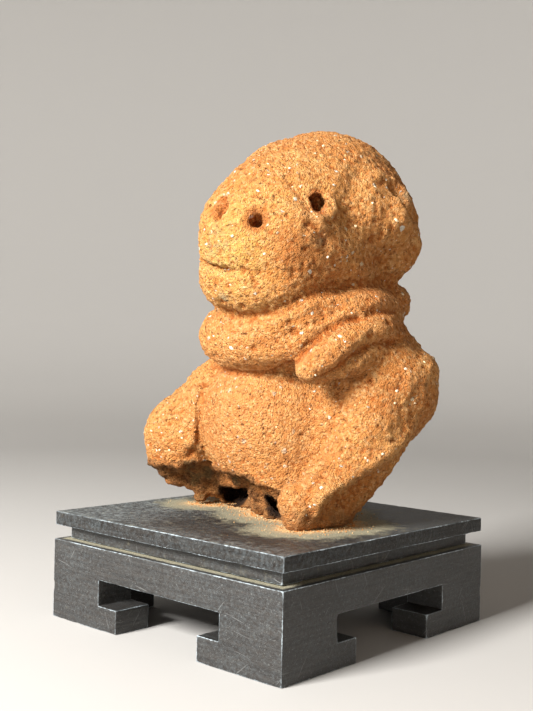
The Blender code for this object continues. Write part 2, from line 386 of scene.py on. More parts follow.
def makeScratchGroup():
    # Hairline scratches on a flat face: stretched noises at several slants, sharpened to thin pale lines
    group, enter, leave = newGroup("fineScratches", {"Vector": None, "Lines per metre": 600}, {"Mask": 0})
    bent = nudged(group, enter["Vector"], 60, 0.002)
    total = 0
    for slant, stretch in ((0.15, 22), (-0.7, 18), (1.2, 26), (2.2, 16)):
        turned = put(group, "Mapping", {"Vector": bent, "Rotation": (0, 0, slant)}).outputs[0]
        drawn = put(group, "Mapping", {"Vector": turned, "Scale": (1 / stretch, 1, 1)}).outputs[0]
        lines = noise(group, drawn, enter["Lines per metre"], 1, 0.5)
        total = maths(group, "MAXIMUM", total, remap(group, lines, 0.73, 0.79))
    group.links.new(total, leave["Mask"])
    return group


fleckGroup = makeFleckGroup()
gritGroup = makeGritGroup()
dustGroup = makeDustGroup()
scratchGroup = makeScratchGroup()
flatGroup = makeFlatGroup()

# The clay figure

figure = {
    "skinGrid": 1.06 * mm,
    "facetRounds": 40,         # smoothing that takes the solid's flat facets away
    "holeDepth": (1.2 * mm, 2.4 * mm),   # where the smooth skin departs this far, the solid's form stays
    "regain": 0.6 * mm,        # put back outwards after the smoothing has shrunk the skin
    "flatTop": (12 * mm, 2 * mm),        # nothing is put back this close under the crown
    "middleColumn": 300,       # pixel column through the middle of the figure
    "walkSteps": 25,           # a place off the skin may move so many hundredths of the way to it
    "rimReach": 15,            # pixels from a hole's middle to the skin round it
    "cone": (0.5, 1.45),       # a hole's half width at its bottom and over its mouth
    "caveRough": ((0.26, 6 * mm, 91), (0.14, 3 * mm, 93)),      # share of the radius, size and seed
    "breakAxis": [(29, -33, 9), (22, -30, 17), (13, -34, 21), (-8, -27, 23), (-28, -22, 24),
                  (-41, -27, 23), (-57, -31, 23)],      # mm: x, y and radius of the arch broken out below
    "breakFade": (0.2 * mm, 1.2 * mm),
    "breakRise": 42 * mm,      # no broken clay above this height over the plate
    "breakRight": (27 * mm, 33 * mm),    # nor further right than this
    "calmBelly": 0.5,          # share of the roughness that the smoother belly loses
    "lowClay": (3 * mm, 15 * mm),        # browner clay up to this height over the plate
    "fineDent": 0.14 * mm,     # depth of a pit, or height of a grain, that gets the full painted shade or painted highlight
}

# Patches of colour, some of them painted shade: pixel of the middle, strength and radius in mm
figurePatches = {
    "muzzle": [((226, 243), 1, 24)],
    "belly": [((262, 420), 1, 32)],
    # grey: grey clay at the mouth and chin, and painted shade under the cheek's ridge and in the ear's notch
    "grey": [((219, 244), 0.6, 7), ((225, 297), 0.9, 2.6), ((404, 196), 0.7, 4), ((321, 239), 0.5, 3)],
    # red: painted shade, darker red-brown on the cheek and on the wrap's right side
    "red": [((298, 254), 0.6, 13), ((286, 238), 0.3, 8), ((376, 300), 0.5, 10)],
}

# Grit and torn clay: heights in mm, sizes in mm, seeds
relief = {
    "swells": [(0.30, 17, 1), (0.35, 8, 2), (0.30, 4, 3), (0.34, 2.1, 5)],
    "tornSwells": [(1.5, 9, 6), (1.2, 3.5, 7), (0.6, 2.0, 8)],
    "smallCells": (2.6, 11),
    "grains": (0.2, 0.62),     # heights of the low grains and of the high ones
    "pits": 0.85,
    "largeCells": (5.5, 21),
    "chips": 0.6,
    "scars": 0.9,
    "lumps": (7, 31),
    "lumpHeight": 2.6,
}

# Grooves and ridges as they run in the picture: pixels, depth in mm (a ridge is negative), width in mm
figureLines = {
    "underJaw": ([(214, 304), (232, 313), (252, 318), (271, 312), (294, 301), (316, 290), (344, 284),
                  (372, 281), (398, 278)], 2.4, 3.2),
    "wrapFoot": ([(214, 367), (226, 371), (241, 372), (263, 374), (280, 368), (297, 361)], 2.4, 2.2),
    "flapTop": ([(298, 360), (306, 348), (322, 334), (344, 321), (364, 318)], 3.0, 2.4),
    "flapBelow": ([(313, 381), (333, 373), (353, 356), (372, 345), (396, 340)], 3.2, 2.4),
    "flapCrown": ([(311, 368), (330, 352), (352, 335), (378, 328), (396, 333)], -2.4, 4.6),
    "flapTip": ([(300, 368), (308, 375), (314, 377)], -1.6, 2.6),
    "wrapSplit": ([(364, 317), (384, 311), (402, 312)], 2.2, 2.6),
    "wrapRoll": ([(262, 326), (284, 318), (306, 308), (330, 300), (356, 297), (382, 297)], -1.6, 3.4),
    "wrapHollow": ([(252, 345), (276, 342), (298, 332), (322, 318), (344, 308)], 1.6, 4.0),
    "armpitFill": ([(203, 386), (202, 408), (198, 430), (190, 450)], -5.0, 6.5),
    "rightArmpit": ([(206, 380), (207, 407), (204, 427), (196, 447), (184, 458)], 1.5, 2.2),
    "leftArmpit": ([(322, 384), (328, 407), (334, 433)], 1.0, 4.0),
    "forearmFill": ([(331, 400), (326, 424), (321, 446), (317, 464), (312, 482), (306, 498)], -3.0, 5.5),
    "forearmSide": ([(330, 474), (318, 487), (309, 504), (308, 524)], 1.4, 2.6),
    "forearmEnd": ([(334, 482), (324, 488), (316, 500), (314, 518)], -1.6, 3.0),
    "forearmCrown": ([(414, 425), (389, 450), (361, 467), (339, 484), (322, 492), (312, 508)], -2.6, 3.4),
    "forearmUnder": ([(418, 440), (392, 462), (364, 480), (343, 497), (328, 506)], 1.8, 4.0),
    "cheekFold": ([(304, 222), (314, 228), (322, 236), (326, 246)], 1.6, 2.0),
    "cheekCrown": ([(282, 207), (300, 213), (315, 221), (326, 230)], -1.5, 2.4),
    "browLine": ([(288, 182), (298, 192), (306, 204), (309, 214)], 1.0, 2.2),
    "earValley": ([(364, 168), (355, 182), (349, 200), (347, 218), (349, 234)], 1.5, 6.0),
    "earCrown": ([(376, 186), (371, 202), (370, 218), (376, 236)], -0.8, 9.0),
    "earLip": ([(364, 181), (378, 177), (393, 182), (404, 194), (412, 208)], -1.4, 2.4),
    "earNotch": ([(389, 189), (398, 197), (406, 207), (411, 216)], 4.4, 2.2),
    "earUnder": ([(416, 250), (402, 258), (388, 260), (374, 262)], 3.2, 6.0),
    "mouth": ([(201, 259), (208, 262), (215, 266), (224, 269), (233, 270)], 3.2, 1.4),
    "mouthFold": ([(228, 270), (244, 272), (258, 273), (272, 271)], 0.9, 2.4),
    "lipAbove": ([(206, 255), (218, 260), (234, 264)], -0.7, 2.4),
    "eyeRim": ([(331, 196), (334, 206), (330, 216), (321, 219), (313, 216)], -1.6, 1.8),
}

# Broad swells: pixel of the middle, height in mm (a hollow is negative), radius in mm
figureSwells = {
    "muzzleSide": ((206, 245), 1.3, 12),
    "shoulderFill": ((358, 385), 4.4, 11),
    "shoulderFillLow": ((362, 416), 2.2, 12),
    "wrapSideTop": ((209, 318), 1.6, 8),
    "muzzleFront": ((232, 238), 1.2, 16),
    "jawSide": ((209, 285), 1.6, 9),
    "wrapSide": ((207, 338), 2.4, 11),
    "wrapBack": ((406, 300), -4.6, 12),
    "earBack": ((415, 212), -2.6, 7),
    "earBody": ((397, 216), 3.0, 9),
    "earCorner": ((416, 246), 3.0, 6),
    "shoulderCorner": ((428, 366), 3.8, 8),
    "shoulderTop": ((417, 345), -2.4, 7),
    "shoulderFront": ((404, 372), 1.8, 12),
    "forearmBack": ((419, 430), -1.8, 11),
    "flank": ((392, 470), 0.6, 12),
    "crownLeft": ((258, 163), 0.5, 11),
    "crownRight": ((384, 160), -0.8, 12),
    "cheekSide": ((346, 252), 2.8, 10),
    "eyeSocket": ((322, 198), -1.4, 9),
    "bellyFront": ((262, 410), 1.0, 22),
    "armStub": ((160, 430), 1.4, 12),
    "armBack": ((174, 388), -2.8, 9),
}

# Holes pressed with a stick: pixel, width, height and depth in mm, degrees turned left and down inside
figureHoles = {
    "nearEye": ((318, 203), 5.6, 9.6, 14.0, 24, 4),
    "nearNostril": ((256, 220), 9.0, 8.4, 11.0, -6, 26),
    "farNostril": ((222, 210), 7.0, 8.8, 3.4, 0, 0),
}

# Caves torn into the break: pixel, radii across, up and inward in mm, how far behind the seen skin
caves = {
    "underBelly": ((235, 497), (7.2, 5.4, 16), 8),
    "underBellyLeft": ((227, 491), (4.5, 4.0, 10), 5),
    "besideTooth": ((246, 491), (3.2, 4.6, 10), 5),
    "rightCave": ((277, 509), (4.2, 5.0, 14), 7),
    "rightCaveTop": ((271, 500), (2.8, 3.4, 9), 4),
}

# Lumps of clay added: pixel of the middle, radius and how far behind the seen skin, in mm
rubble = {
    "leftStub": ((193, 490), 4.5, 0),
    "redTooth": ((257, 492), 4.5, 0),
    "greyFoot": ((262, 507), 4.5, 0),
    "greyFootRight": ((272, 515), 3.0, 0),
    "bellyCorner": ((296, 503), 8.0, 8),
    "bellyCornerLow": ((299, 516), 8.0, 7.5),
    "eyeWall": ((327, 205), 2.6, 0),
}

# Larger chips of pale stone: pixel and length in mm
chips = [
    (324, 146, 1.9), (232, 348, 2.4), (341, 337, 2.6), (406, 369, 1.9), (219, 241, 1.2), (233, 236, 2.0),
    (265, 254, 1.8), (250, 174, 1.3), (372, 203, 1.3), (375, 187, 1.3), (396, 220, 2.2), (355, 226, 1.8),
    (327, 257, 1.7), (334, 185, 1.5), (290, 168, 1.6), (293, 187, 1.2), (258, 191, 1.6), (312, 212, 1.2),
    (424, 362, 1.5), (231, 285, 1.4), (402, 294, 1.3), (352, 313, 1.2), (397, 391, 1.8), (395, 403, 1.8),
    (322, 488, 2.2), (383, 454, 1.6), (152, 431, 1.6), (162, 433, 1.2), (160, 450, 1.4), (169, 450, 1.4),
    (315, 375, 1.2), (320, 387, 1.1), (310, 409, 1.2), (415, 403, 1.4), (182, 438, 1.2), (365, 458, 1.4),
    (276, 427, 1.0), (288, 401, 1.0), (214, 336, 1.2), (268, 164, 1.2), (345, 160, 1.2), (318, 141, 1.1),
]


def seenPoint(tree, pixel):
    # Where the pixel's line meets the skin; off the skin it walks towards the figure's middle column
    start, middle = Vector(pixel), Vector((figure["middleColumn"], pixel[1]))
    for step in range(figure["walkSteps"]):
        spot = tree.ray_cast(*pixelRay(start.lerp(middle, step / 100)))[0]
        if spot is not None:
            return np.array(spot)
    raise ValueError("no clay near this pixel")


def behindSkin(tree, pixel, behind):
    # The place so many mm behind the skin that the pixel sees
    return seenPoint(tree, pixel) + np.array(viewAxes()[2]) * behind * mm


def mergedCopy(name):
    # The solid's loose triangles with their corners joined
    bm = bmesh.new()
    bm.from_mesh(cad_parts[name].data)
    bmesh.ops.remove_doubles(bm, verts=bm.verts, dist=0.001 * mm)
    return bm


def held(bm, name):
    # A linked object that holds the mesh while modifiers work on it
    mesh = bpy.data.meshes.new(name)
    bm.to_mesh(mesh)
    bm.free()
    holder = bpy.data.objects.new(name, mesh)
    bpy.context.scene.collection.objects.link(holder)
    return holder


def finished(holder):
    # The holder's mesh with its modifiers applied
    mesh = bpy.data.meshes.new_from_object(holder.evaluated_get(bpy.context.evaluated_depsgraph_get()))
    bpy.data.objects.remove(holder)
    return mesh


def skinOf(bm, grid):
    # One closed skin of even quads round everything in the mesh
    holder = held(bm, "rough")
    step = holder.modifiers.new("skin", "REMESH")
    step.mode = "VOXEL"
    step.voxel_size = grid
    return finished(holder)


def rimPoint(tree, pixel):
    # A place on the skin over a hole already there: on the pixel's line, as far off as the skin round it
    place, way = pixelRay(pixel)
    reach = figure["rimReach"]
    ring = [(pixel[0] + reach * across, pixel[1] + reach * down)
            for across, down in ((1, 0), (0, 1), (-1, 0), (0, -1))]
    far = [np.linalg.norm(seenPoint(tree, spot) - np.array(place)) for spot in ring]
    return place + way * float(np.median(far))


def holeFrames(tree):
    # Each hole's middle on the skin and its own axes: width, height and inward, turned left and down
    right, up, _ = viewAxes()
    for pixel, width, height, depth, left, down in figureHoles.values():
        inward = pixelRay(pixel)[1]
        inward = Matrix.Rotation(math.radians(left), 3, up) @ inward
        inward = Matrix.Rotation(math.radians(-down), 3, right) @ inward
        side = inward.cross(up).normalized()
        yield rimPoint(tree, pixel), side, side.cross(inward), inward, (width, height, depth)


def holeCutter(tree):
    # A tapering cone for every hole, and for every cave a ball whose surface is pushed in and out by noise
    bm = bmesh.new()
    for spot, side, top, inward, (width, height, depth) in holeFrames(tree):
        axes = Matrix((side, top, -inward)).transposed().to_4x4()
        size = Matrix.Diagonal((width / 2 * mm, height / 2 * mm, depth * mm, 1))
        bmesh.ops.create_cone(bm, cap_ends=True, segments=20, radius1=figure["cone"][0],
                              radius2=figure["cone"][1], depth=2,
                              matrix=Matrix.Translation(spot) @ axes @ size)
    right, up, forward = viewAxes()
    turned = Matrix((right, up, -forward)).transposed().to_4x4()
    balls = []
    for pixel, radii, behind in caves.values():
        middle = Vector(seenPoint(tree, pixel)) + forward * behind * mm
        place = Matrix.Translation(middle) @ turned @ Matrix.Diagonal([radius * mm for radius in radii] + [1])
        ball = bmesh.ops.create_icosphere(bm, subdivisions=3, radius=1, matrix=place)
        bm.verts.index_update()
        balls.append((np.array(middle, np.float32), [corner.index for corner in ball["verts"]]))
    cutter = held(bm, "hole cutter")
    points, _ = meshArrays(cutter.data)
    (coarse, coarseSize, coarseSeed), (fine, fineSize, fineSeed) = figure["caveRough"]
    for index, (middle, rows) in enumerate(balls):
        ball = points[rows]
        push = coarse * clouds(ball, coarseSize, coarseSeed + index) + fine * clouds(ball, fineSize, fineSeed)
        grown = (1 + push).astype(np.float32)[:, None]
        points[rows] = middle + (ball.astype(np.float32) - middle) * grown
    putPoints(cutter.data, points)
    return cutter


def drilled(bm, tree):
    # The mesh with its holes and caves cut out
    cutter = holeCutter(tree)
    holder = held(bm, "drilled")
    step = holder.modifiers.new("holes", "BOOLEAN")
    step.operation = "DIFFERENCE"
    step.solver = "EXACT"
    step.use_self = True
    step.object = cutter
    out = bmesh.new()
    out.from_mesh(finished(holder))
    bpy.data.objects.remove(cutter)
    return out


def nearCaves(points, tree):
    # 1 inside the caves, falling to 0 a little way outside them
    right, up, forward = (np.array(axis) for axis in viewAxes())
    share = np.zeros(len(points))
    for pixel, radii, behind in caves.values():
        gap = points - behindSkin(tree, pixel, behind)
        gap = np.stack([gap @ right, gap @ up, gap @ forward], axis=1) / (np.array(radii) * mm)
        share = np.maximum(share, 1 - eased(np.linalg.norm(gap, axis=1), 0.95, 1.35))
    return share


def nearHoles(points, tree):
    # 1 on the walls and rims of the drilled holes, falling to 0 beside them
    share = np.zeros(len(points))
    for spot, side, top, inward, (width, height, depth) in holeFrames(tree):
        gap = points - np.array(spot)
        across = (gap @ np.array(side)) / (width / 2 * mm)
        upward = (gap @ np.array(top)) / (height / 2 * mm)
        along = gap @ np.array(inward)
        ring = np.hypot(across, upward)
        reach = (1 - eased(ring, 1.15, 1.6)) * (along > -3 * mm) * (along < depth * 1.2 * mm)
        share = np.maximum(share, reach)
    return share


def strokeReach(points, path):
    # Distance from every point to the nearest of the path's straight runs, and how far along it lies
    best = np.full(len(points), 9.0)
    along = np.zeros(len(points))
    runs = len(path) - 1
    for index in range(runs):
        start, way = path[index], path[index + 1] - path[index]
        share = np.clip((points - start) @ way / (way @ way), 0, 1)
        gap = np.linalg.norm(points - start - share[:, None] * way, axis=1)
        closer = gap < best
        best = np.where(closer, gap, best)
        along = np.where(closer, (index + share) / runs, along)
    return best, along


def curvedPath(path, count=24):
    # A smooth curve through the points, which are evenly spread along its length
    path = np.array(path)
    length = np.concatenate([[0], np.cumsum(np.linalg.norm(np.diff(path, axis=0), axis=1))])
    even = np.linspace(0, length[-1], count)
    straight = np.stack([np.interp(even, length, path[:, axis]) for axis in range(3)], axis=1)
    for _ in range(3):
        straight[1:-1] = (straight[:-2] + 2 * straight[1:-1] + straight[2:]) / 4
    return straight


def pressLines(points, tree):
    # Each line sinks or lifts the clay by its depth, falling off as a bell over its width and at its ends
    total = np.zeros(len(points))
    for pixels, depth, width in figureLines.values():
        path = curvedPath([seenPoint(tree, pixel) for pixel in pixels])
        gap, along = strokeReach(points, path)
        ends = eased(along, -0.02, 0.12) * (1 - eased(along, 0.88, 1.02))
        total -= depth * mm * np.exp(-(gap / (width * mm)) ** 2) * (0.35 + 0.65 * ends)
    return total


def nearness(points, spot, reach):
    # 1 at the spot, falling as a bell over the reach
    return np.exp(-(np.linalg.norm(points - spot, axis=1) / reach) ** 2)


def patched(points, tree, patches):
    # Adds up bells, each with its own height, round the places where the pixels' lines meet the skin
    return sum(height * nearness(points, seenPoint(tree, pixel), radius * mm)
               for pixel, height, radius in patches)


def brokenShare(points, past=0.0):
    # 1 where the clay has been torn away under the figure, 0 on its own skin
    axis = np.array([(x, y, 0) for x, y, _ in figure["breakAxis"]]) * mm + (0, 0, plateTop)
    radii = np.array([radius for _, _, radius in figure["breakAxis"]]) * mm
    gap, along = strokeReach(points, axis)
    radius = np.interp(along * (len(radii) - 1), np.arange(len(radii)), radii)
    near = 1 - eased(gap - radius - past, *figure["breakFade"])
    rise = figure["breakRise"]
    low = 1 - eased(points[:, 2], plateTop + 0.8 * rise, plateTop + rise)
    return near * low * (1 - eased(points[:, 0], *figure["breakRight"]))


def rolling(points, swells):
    # Adds up soft noises, each with its own height, size and seed
    return sum(height * clouds(points, size * mm, seed) for height, size, seed in swells)


def roughen(points, broken):
    # Uneven hand-pressed clay full of grit: soft swells, raised grains and chips, pits and scars
    size, seed = relief["smallCells"]
    near, tag = pebbles(points, size * mm, seed)
    low, high = relief["grains"]
    skin = np.where(tag > 0.5, high, low) * (1 - eased(near, 0.15, 0.65))
    skin -= np.where(tag < 0.15, relief["pits"], 0) * (1 - eased(near, 0.1, 0.55))
    size, seed = relief["largeCells"]
    near, tag = pebbles(points, size * mm, seed)
    skin += np.where(tag > 0.8, relief["chips"], 0) * (1 - eased(near, 0.12, 0.4))
    skin -= np.where(tag < 0.1, relief["scars"], 0) * (1 - eased(near, 0.25, 0.5))
    skin += rolling(points, relief["swells"])
    size, seed = relief["lumps"]
    near, tag = pebbles(points * (1, 1, 1.5), size * mm, seed)
    torn = relief["lumpHeight"] * (tag - 0.5) * (1 - eased(near, 0.3, 0.75))
    torn += rolling(points, relief["tornSwells"])
    return (skin * (1 - broken) + torn * broken) * mm


def smoothed(mesh, tree):
    # The mesh's points with the solid's facets smoothed away, but not its holes, caves and break
    points, edges = meshArrays(mesh)
    smooth = relaxed(points, edges, figure["facetRounds"])
    holes = nearHoles(points, tree)
    cave = nearCaves(points, tree)
    kept = eased(np.linalg.norm(smooth - points, axis=1), *figure["holeDepth"])
    kept = np.maximum(np.maximum(kept, cave), np.maximum(holes, brokenShare(points, 1.2 * mm)))
    kept = relaxed(kept, edges, 3)[:, None]
    return smooth * (1 - kept) + relaxed(points, edges, 5) * kept, edges, holes, cave


def shapeFigure(mat):
    # The solid's form with holes, lumps, grooves, swells and grit, as one closed skin
    solid = mergedCopy("figure")
    tree = BVHTree.FromBMesh(solid)
    bm = drilled(solid, tree)
    for pixel, radius, behind in rubble.values():
        spot = behindSkin(tree, pixel, behind)
        place = Matrix.Translation(spot) @ Matrix.Diagonal((1, 1, 1.2, 1))
        bmesh.ops.create_icosphere(bm, subdivisions=3, radius=radius * mm, matrix=place)
    mesh = skinOf(bm, figure["skinGrid"])
    mesh.name = "figureClay"
    points, edges, holes, cave = smoothed(mesh, tree)
    putPoints(mesh, points)
    skin = rayTree(mesh, points)
    normals = relaxed(cornerNormals(mesh), edges, 6)
    floor, top = (corner.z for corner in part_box("figure"))
    below, above = figure["flatTop"]
    regain = figure["regain"] * (1 - holes) * (1 - eased(points[:, 2], top - below, top - above))
    lift = pressLines(points, skin) + mm * patched(points, skin, figureSwells.values()) + regain
    points = points + normals * lift[:, None]
    putPoints(mesh, points)
    normals = relaxed(cornerNormals(mesh), edges, 2)
    broken = brokenShare(points, 0.9 * mm)
    broken = np.maximum(eased(broken + 0.3 * clouds(points, 4 * mm, 41), 0.4, 0.6), cave)
    calm = 1 - figure["calmBelly"] * patched(points, skin, figurePatches["belly"]) * (1 - broken)
    points = points + normals * (roughen(points, broken) * calm)[:, None]
    points[:, 2] = np.maximum(points[:, 2], floor)
    points = insideBox(points)
    putPoints(mesh, points)
    dent = relaxed(np.sum((neighbourMean(points, edges) - points) * normals, axis=1), edges, 1)
    low, high = figure["lowClay"]
    shares = {
        "broken": broken,
        "hole": holes,
        "cave": cave,
        # painted shade in the small hollows and painted highlight on the small rises, from the skin's
        # curvature
        "cavityShade": eased(dent, 0, figure["fineDent"]),
        "crestHighlight": eased(-dent, 0, figure["fineDent"]),
        "low": 1 - eased(points[:, 2], plateTop + low, plateTop + high),
    }
    for name, share in shares.items():
        putAttribute(mesh, name, share)
    for name, patches in figurePatches.items():
        putAttribute(mesh, name, patched(points, skin, patches))
    mesh.shade_smooth()
    mesh.materials.append(mat)
    print("figure has", len(mesh.polygons), "faces")
    return settle(bpy.data.objects.new("figureClay", mesh), ["figure"])


clay = {
    "flecks": [(480.0, 0.05, 0.40), (260.0, 0.10, 0.28), (110.0, 0.09, 0.17)],   # per metre, share, size
    "bump": 2.1 * mm,
}


def clayMaterial():
    # Orange clay in grains and pits, yellower over the muzzle, with pale chips, and dark brown where torn;
    # painted shade darkens the pits, small hollows, holes, caves and some patches, and painted highlight
    # lightens the small rises
    mat, tree, inputs, where = newMaterial("firedClay", 0.92, 0.2)
    names = ("muzzle", "belly", "red", "cavityShade", "crestHighlight", "grey", "low", "broken", "cave", "hole")
    share = {name: attributeValue(tree, name) for name in names}
    grit = useGroup(tree, gritGroup, {"Vector": where, "Grains per metre": 950, "Pits": 1})
    grain = grit["Grain"]
    broad = noise(tree, where, 28, 3, 0.6)
    middle = noise(tree, where, 170, 5, 0.7)
    lump = noise(tree, where, 75, 3, 0.6)
    small, medium, large = (useGroup(tree, fleckGroup, {"Vector": where, "Cells per metre": cells,
                                                        "Kept share": kept, "Core size": core})
                            for cells, kept, core in clay["flecks"])
    fleck = maths(tree, "MAXIMUM", small["Mask"], maths(tree, "MAXIMUM", medium["Mask"], large["Mask"]))
    chip = blendColour(tree, medium["Tint"], (0.80, 0.62, 0.38), (0.90, 0.86, 0.76))
    torn = blendColour(tree, remap(tree, middle, 0.35, 0.65), (0.13, 0.052, 0.018), (0.38, 0.16, 0.050))
    torn = coated(tree, torn, [
        (remap(tree, lump, 0.5, 0.62, 0, 0.7), (0.52, 0.20, 0.055)),
        (remap(tree, lump, 0.44, 0.34, 0, 0.7), (0.20, 0.13, 0.055)),
        (remap(tree, grain, 0.6, 0.9, 0, 0.5), (0.44, 0.21, 0.07))])
    muzzle = times(tree, share["muzzle"], remap(tree, middle, 0.3, 0.6, 0.4, 1))
    colour = blendColour(tree, remap(tree, broad, 0.35, 0.68), (0.58, 0.210, 0.050), (0.67, 0.300, 0.084))
    colour = coated(tree, colour, [
        (times(tree, muzzle, 0.95), (0.62, 0.40, 0.095)),
        (remap(tree, middle, 0.45, 0.7, 0, 0.5), (0.80, 0.47, 0.18)),
        (times(tree, share["belly"], 0.45), (0.70, 0.29, 0.095)),
        (remap(tree, grain, 0.74, 0.95, 0, 0.7), (0.34, 0.13, 0.04)),
        (remap(tree, grain, 0.22, 0.05, 0, 0.5), (0.84, 0.52, 0.24)),
        # painted shade: darker red-brown on the cheek and on the wrap's right side
        (share["red"], (0.47, 0.155, 0.036)),
        # painted shade darkens the small hollows, and painted highlight lightens the small rises
        (times(tree, share["cavityShade"], 0.72), (0.40, 0.095, 0.012)),
        (times(tree, share["crestHighlight"], 0.2), (0.84, 0.50, 0.22)),
        # grey clay at the mouth and chin, and painted shade under the cheek's ridge and in the ear's notch
        (times(tree, share["grey"], remap(tree, middle, 0.42, 0.56)), (0.27, 0.24, 0.15)),
        (times(tree, share["low"], remap(tree, middle, 0.35, 0.6, 0.3, 0.9)), (0.33, 0.155, 0.060)),
        (times(tree, fleck, remap(tree, share["belly"], 0, 1, 0.9, 0.35)), chip),
        (share["broken"], torn),
        # painted shade: the pits darkened to near black-brown
        (times(tree, grit["Pit"], 0.6), (0.20, 0.055, 0.010)),
        # painted shade: the torn caves darkened to near black
        (times(tree, times(tree, share["cave"], share["broken"]), 0.93), (0.014, 0.006, 0.003)),
        # painted shade: the walls and rims of the stick holes darkened to deep red
        (times(tree, share["hole"], 0.6), (0.46, 0.11, 0.02))])
    tree.links.new(colour, inputs["Base Color"])
    height = maths(tree, "MULTIPLY_ADD", fleck, 0.35, grit["Height"])
    bump = put(tree, "Bump", {"Height": height, "Strength": 1, "Distance": clay["bump"]})
    tree.links.new(bump.outputs["Normal"], inputs["Normal"])
    return mat


figurePiece = shapeFigure(clayMaterial())
print("figure shaped")

# The stand

stand = {
    "step": 1.25 * mm,        # spacing of the boards' grids
    "edgeLine": 0.45 * mm,    # a grid line this close to every edge, for the worn round
    "wearRounds": 2,
    "nick": 0.32 * mm,        # deepest edge nick
    "board": 20 * mm,         # the apron's thickness
    "footWidth": 35 * mm,
    "toeReach": 13 * mm,
    "toeHeight": 11.2 * mm,
    "openingHeight": 23.1 * mm,
    "dustFront": [(-75, -20), (-48, -34), (-20, -44), (-4, -48), (14, -52), (28, -56), (46, -50), (75, -34)],
    "footLow": 6 * mm,        # the figure counts as close to the plate up to this height
    "footEvery": 23,          # one in so many of its points there is enough
    "rustReach": 5.5 * mm,    # red clay dust lies this far from the figure
    "dustReach": 14 * mm,
    "crumbs": 9000,
    "crumbSpread": (2.5, 9),  # mm from the figure: most of them, and the few that rolled on
    "crumbSize": (0.11, 0.30),           # mm: the smallest, and how much the rare largest ones add
}


def fineLines(stops):
    # Grid lines through all the stops, close beside each, and evenly between
    lines = []
    for low, high in zip(stops[:-1], stops[1:]):
        near, far = low + stand["edgeLine"], high - stand["edgeLine"]
        count = max(int(math.ceil((far - near) / stand["step"])), 1)
        lines += [low, *np.linspace(near, far, count + 1)]
    return np.array(lines + [stops[-1]])


def blockSkin(lines, filled):
    # The outer skin of the filled cells between three sets of grid lines: a face stands wherever a filled
    # cell meets an empty one, and looks out of the filled one
    counts = [len(line) for line in lines]
    number = np.arange(np.prod(counts)).reshape(counts)
    faces = []
    for axis in range(3):
        order = (axis, (axis + 1) % 3, (axis + 2) % 3)
        solid = np.pad(filled, 1).transpose(order).astype(int)
        change = (solid[1:] - solid[:-1])[:, 1:-1, 1:-1]
        corner = number.transpose(order)
        for sign in (1, -1):
            plane, first, second = np.nonzero(change == sign)
            ring = [corner[plane, first, second], corner[plane, first + 1, second],
                    corner[plane, first + 1, second + 1], corner[plane, first, second + 1]]
            faces.append(np.stack(ring[::-1] if sign == 1 else ring, axis=1))
    faces = np.concatenate(faces)
    used, faces = np.unique(faces, return_inverse=True)
    places = np.stack(np.unravel_index(used, counts), axis=1)
    points = np.stack([lines[axis][places[:, axis]] for axis in range(3)], axis=1)
    return points, faces.reshape(-1, 4)


def cellMiddles(lines):
    return np.meshgrid(*[(line[1:] + line[:-1]) / 2 for line in lines], indexing="ij")


def figureFootprint():
    # The points of the figure close above the plate, seen from above
    points, _ = meshArrays(figurePiece.data)
    low = points[points[:, 2] < plateTop + stand["footLow"]]
    return low[::stand["footEvery"], :2]


footprint = figureFootprint()


def footGap(points):
    # Distance seen from above to the nearest of the figure's low points
    gap = np.full(len(points), 9.0)
    for part in np.array_split(np.arange(len(points)), 40):
        spread = points[part, None, :2] - footprint[None]
        gap[part] = np.sqrt((spread ** 2).sum(2).min(1))
    return gap


def wearBoard(name, points, faces, mat, dust, seed):
    # Rounds a board's edges by relaxing, nicks them, and stores where it is worn or dusty and where it gets a
    # painted sheen
    mesh = bpy.data.meshes.new(name)
    mesh.from_pydata(points, [], faces)
    low, high = points.min(0), points.max(0)
    _, edges = meshArrays(mesh)
    mesh.update()
    sharp = cornerNormals(mesh)
    points = relaxed(points, edges, stand["wearRounds"])
    putPoints(mesh, points)
    normals = cornerNormals(mesh)
    slant = 1 - np.abs(sharp).max(1)
    outward = np.sum((points - neighbourMean(points, edges)) * normals, axis=1)
    ridge = relaxed(np.where(outward > 0.005 * mm, np.clip(slant / 0.29, 0, 1), 0), edges, 2)
    ridge = np.clip(ridge * 2.2, 0, 1)
    bite = eased(clouds(points, 5 * mm, seed), 0.25, 0.8)
    bite += 0.5 * eased(clouds(points, 1.8 * mm, seed + 1), 0.2, 0.8)
    points = points - normals * (stand["nick"] * ridge * bite)[:, None]
    points += normals * (0.05 * mm * clouds(points, 9 * mm, seed + 2))[:, None]
    putPoints(mesh, np.clip(points, low, high))
    putAttribute(mesh, "worn", ridge)
    putAttribute(mesh, "dust", dust(points, normals))
    rust = np.exp(-(footGap(points) / stand["rustReach"]) ** 2)
    rust *= 0.6 + 0.4 * clouds(points, 3 * mm, seed + 3)
    putAttribute(mesh, "rust", rust * (points[:, 2] > plateTop - 1 * mm))
    # painted sheen on the plate's top towards the left, and rubbing along its front edge
    leftward = eased(-points[:, 0], 0, 50 * mm)
    frontal = 0.7 * eased(-points[:, 1], 58 * mm, 72 * mm)
    upper = eased(normals[:, 2], 0.5, 0.9) * (points[:, 2] > plateTop - 1 * mm)
    putAttribute(mesh, "sheenAndRub", np.maximum(leftward, frontal) * upper)
    mesh.shade_smooth()
    mesh.materials.append(mat)
    return bpy.data.objects.new(name, mesh)


